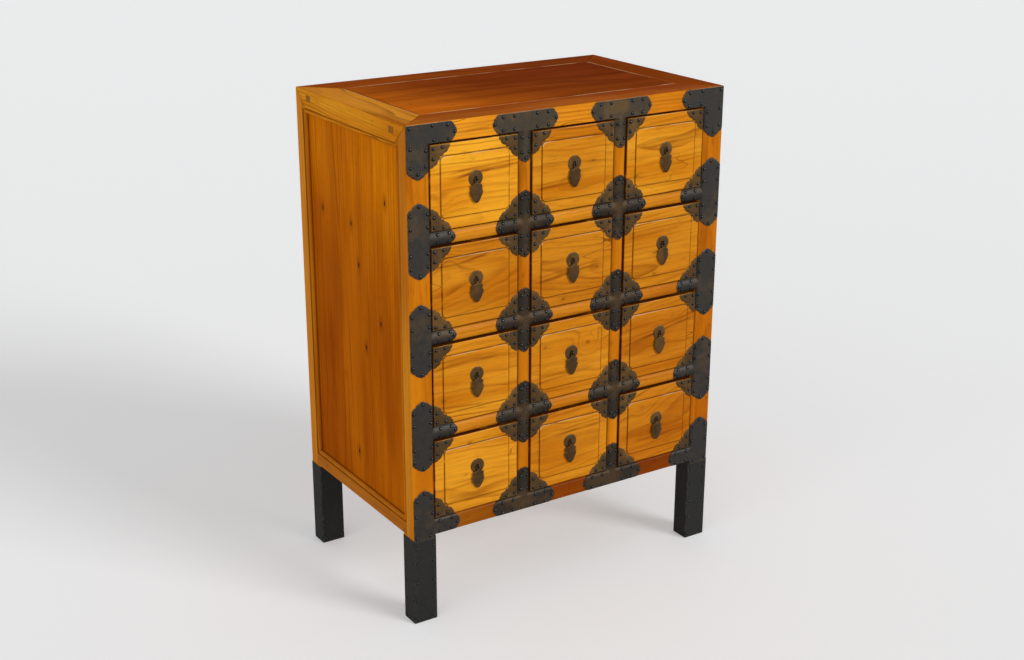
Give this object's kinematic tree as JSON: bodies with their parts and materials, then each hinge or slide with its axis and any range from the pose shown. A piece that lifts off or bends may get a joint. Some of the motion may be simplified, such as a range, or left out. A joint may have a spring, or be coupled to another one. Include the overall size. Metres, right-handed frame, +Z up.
{
  "type": "medicine cabinet",
  "caption": "Free-standing wooden medicine chest on four iron-sleeved legs, with a grid of small raised-field drawers, leaf-shaped drop pulls and sheet-iron mounts",
  "frame": {"origin": "on the floor, under the middle of the cabinet", "axes": "+Z is up, the drawer fronts face -Y, and +X is to the right for someone facing them"},
  "size_m": [0.6042, 0.3775, 0.82],
  "materials": {
    "posts": "honey lacquer, semi-gloss",
    "drawers": "golden lacquer, semi-gloss",
    "top_frame": "red-brown lacquer, semi-gloss",
    "top_panel": "dark red-brown lacquer, semi-gloss",
    "sides": "amber lacquer, semi-gloss",
    "rails": "amber lacquer, semi-gloss",
    "back": "plain, matte",
    "mounts": "dark patinated sheet iron, satin",
    "sleeves": "dark patinated sheet iron, satin",
    "drops": "bronzed iron, satin"
  },
  "bodies": {
    "case": {"post_front_left": "posts", "post_front_right": "posts", "post_back_left": "posts", "post_back_right": "posts", "top_frame": "top_frame", "top_panel": "top_panel", "side_panel_left": "sides", "side_panel_right": "sides", "back_panel": "back", "deck_row1": "rails", "deck_row2": "rails", "deck_row3": "rails", "deck_row4": "rails", "cross_mount_rail1_divider1": "mounts", "cross_mount_rail1_divider2": "mounts", "cross_mount_rail2_divider1": "mounts", "cross_mount_rail2_divider2": "mounts", "cross_mount_rail3_divider1": "mounts", "cross_mount_rail3_divider2": "mounts", "side_t_mount_left_rail1": "mounts", "side_t_mount_left_rail2": "mounts", "side_t_mount_left_rail3": "mounts", "side_t_mount_right_rail1": "mounts", "side_t_mount_right_rail2": "mounts", "side_t_mount_right_rail3": "mounts", "top_t_mount_divider1": "mounts", "top_t_mount_divider2": "mounts", "top_angle_mount_left": "mounts", "top_angle_mount_right": "mounts", "bottom_t_mount_divider1": "mounts", "bottom_t_mount_divider2": "mounts", "leg_sleeve_front_left": "sleeves", "leg_sleeve_front_right": "sleeves", "leg_sleeve_back_left": "sleeves", "leg_sleeve_back_right": "sleeves"},
    "drawer_row1_col1": {"drawer_row1_col1": "drawers"},
    "pull_drop_row1_col1": {"pull_drop_row1_col1": "drops"},
    "drawer_row1_col2": {"drawer_row1_col2": "drawers"},
    "pull_drop_row1_col2": {"pull_drop_row1_col2": "drops"},
    "drawer_row1_col3": {"drawer_row1_col3": "drawers"},
    "pull_drop_row1_col3": {"pull_drop_row1_col3": "drops"},
    "drawer_row2_col1": {"drawer_row2_col1": "drawers"},
    "pull_drop_row2_col1": {"pull_drop_row2_col1": "drops"},
    "drawer_row2_col2": {"drawer_row2_col2": "drawers"},
    "pull_drop_row2_col2": {"pull_drop_row2_col2": "drops"},
    "drawer_row2_col3": {"drawer_row2_col3": "drawers"},
    "pull_drop_row2_col3": {"pull_drop_row2_col3": "drops"},
    "drawer_row3_col1": {"drawer_row3_col1": "drawers"},
    "pull_drop_row3_col1": {"pull_drop_row3_col1": "drops"},
    "drawer_row3_col2": {"drawer_row3_col2": "drawers"},
    "pull_drop_row3_col2": {"pull_drop_row3_col2": "drops"},
    "drawer_row3_col3": {"drawer_row3_col3": "drawers"},
    "pull_drop_row3_col3": {"pull_drop_row3_col3": "drops"},
    "drawer_row4_col1": {"drawer_row4_col1": "drawers"},
    "pull_drop_row4_col1": {"pull_drop_row4_col1": "drops"},
    "drawer_row4_col2": {"drawer_row4_col2": "drawers"},
    "pull_drop_row4_col2": {"pull_drop_row4_col2": "drops"},
    "drawer_row4_col3": {"drawer_row4_col3": "drawers"},
    "pull_drop_row4_col3": {"pull_drop_row4_col3": "drops"}
  },
  "joints": [
    {"name": "drawer_row1_col1_slide", "type": "slide", "parent": "case", "child": "drawer_row1_col1", "axis": [0, -1, 0], "range_m": [0, 0.26]},
    {"name": "pull_drop_row1_col1_swing", "type": "hinge", "parent": "drawer_row1_col1", "child": "pull_drop_row1_col1", "pos_m": [-0.1815, -0.1882, 0.72795], "axis": [-1, 0, 0], "range_deg": [0, 110]},
    {"name": "drawer_row1_col2_slide", "type": "slide", "parent": "case", "child": "drawer_row1_col2", "axis": [0, -1, 0], "range_m": [0, 0.26]},
    {"name": "pull_drop_row1_col2_swing", "type": "hinge", "parent": "drawer_row1_col2", "child": "pull_drop_row1_col2", "pos_m": [0, -0.1882, 0.72795], "axis": [-1, 0, 0], "range_deg": [0, 110]},
    {"name": "drawer_row1_col3_slide", "type": "slide", "parent": "case", "child": "drawer_row1_col3", "axis": [0, -1, 0], "range_m": [0, 0.26]},
    {"name": "pull_drop_row1_col3_swing", "type": "hinge", "parent": "drawer_row1_col3", "child": "pull_drop_row1_col3", "pos_m": [0.1815, -0.1882, 0.72795], "axis": [-1, 0, 0], "range_deg": [0, 110]},
    {"name": "drawer_row2_col1_slide", "type": "slide", "parent": "case", "child": "drawer_row2_col1", "axis": [0, -1, 0], "range_m": [0, 0.26]},
    {"name": "pull_drop_row2_col1_swing", "type": "hinge", "parent": "drawer_row2_col1", "child": "pull_drop_row2_col1", "pos_m": [-0.1815, -0.1882, 0.56995], "axis": [-1, 0, 0], "range_deg": [0, 110]},
    {"name": "drawer_row2_col2_slide", "type": "slide", "parent": "case", "child": "drawer_row2_col2", "axis": [0, -1, 0], "range_m": [0, 0.26]},
    {"name": "pull_drop_row2_col2_swing", "type": "hinge", "parent": "drawer_row2_col2", "child": "pull_drop_row2_col2", "pos_m": [0, -0.1882, 0.56995], "axis": [-1, 0, 0], "range_deg": [0, 110]},
    {"name": "drawer_row2_col3_slide", "type": "slide", "parent": "case", "child": "drawer_row2_col3", "axis": [0, -1, 0], "range_m": [0, 0.26]},
    {"name": "pull_drop_row2_col3_swing", "type": "hinge", "parent": "drawer_row2_col3", "child": "pull_drop_row2_col3", "pos_m": [0.1815, -0.1882, 0.56995], "axis": [-1, 0, 0], "range_deg": [0, 110]},
    {"name": "drawer_row3_col1_slide", "type": "slide", "parent": "case", "child": "drawer_row3_col1", "axis": [0, -1, 0], "range_m": [0, 0.26]},
    {"name": "pull_drop_row3_col1_swing", "type": "hinge", "parent": "drawer_row3_col1", "child": "pull_drop_row3_col1", "pos_m": [-0.1815, -0.1882, 0.41195], "axis": [-1, 0, 0], "range_deg": [0, 110]},
    {"name": "drawer_row3_col2_slide", "type": "slide", "parent": "case", "child": "drawer_row3_col2", "axis": [0, -1, 0], "range_m": [0, 0.26]},
    {"name": "pull_drop_row3_col2_swing", "type": "hinge", "parent": "drawer_row3_col2", "child": "pull_drop_row3_col2", "pos_m": [0, -0.1882, 0.41195], "axis": [-1, 0, 0], "range_deg": [0, 110]},
    {"name": "drawer_row3_col3_slide", "type": "slide", "parent": "case", "child": "drawer_row3_col3", "axis": [0, -1, 0], "range_m": [0, 0.26]},
    {"name": "pull_drop_row3_col3_swing", "type": "hinge", "parent": "drawer_row3_col3", "child": "pull_drop_row3_col3", "pos_m": [0.1815, -0.1882, 0.41195], "axis": [-1, 0, 0], "range_deg": [0, 110]},
    {"name": "drawer_row4_col1_slide", "type": "slide", "parent": "case", "child": "drawer_row4_col1", "axis": [0, -1, 0], "range_m": [0, 0.26]},
    {"name": "pull_drop_row4_col1_swing", "type": "hinge", "parent": "drawer_row4_col1", "child": "pull_drop_row4_col1", "pos_m": [-0.1815, -0.1882, 0.25395], "axis": [-1, 0, 0], "range_deg": [0, 110]},
    {"name": "drawer_row4_col2_slide", "type": "slide", "parent": "case", "child": "drawer_row4_col2", "axis": [0, -1, 0], "range_m": [0, 0.26]},
    {"name": "pull_drop_row4_col2_swing", "type": "hinge", "parent": "drawer_row4_col2", "child": "pull_drop_row4_col2", "pos_m": [0, -0.1882, 0.25395], "axis": [-1, 0, 0], "range_deg": [0, 110]},
    {"name": "drawer_row4_col3_slide", "type": "slide", "parent": "case", "child": "drawer_row4_col3", "axis": [0, -1, 0], "range_m": [0, 0.26]},
    {"name": "pull_drop_row4_col3_swing", "type": "hinge", "parent": "drawer_row4_col3", "child": "pull_drop_row4_col3", "pos_m": [0.1815, -0.1882, 0.25395], "axis": [-1, 0, 0], "range_deg": [0, 110]}
  ]
}
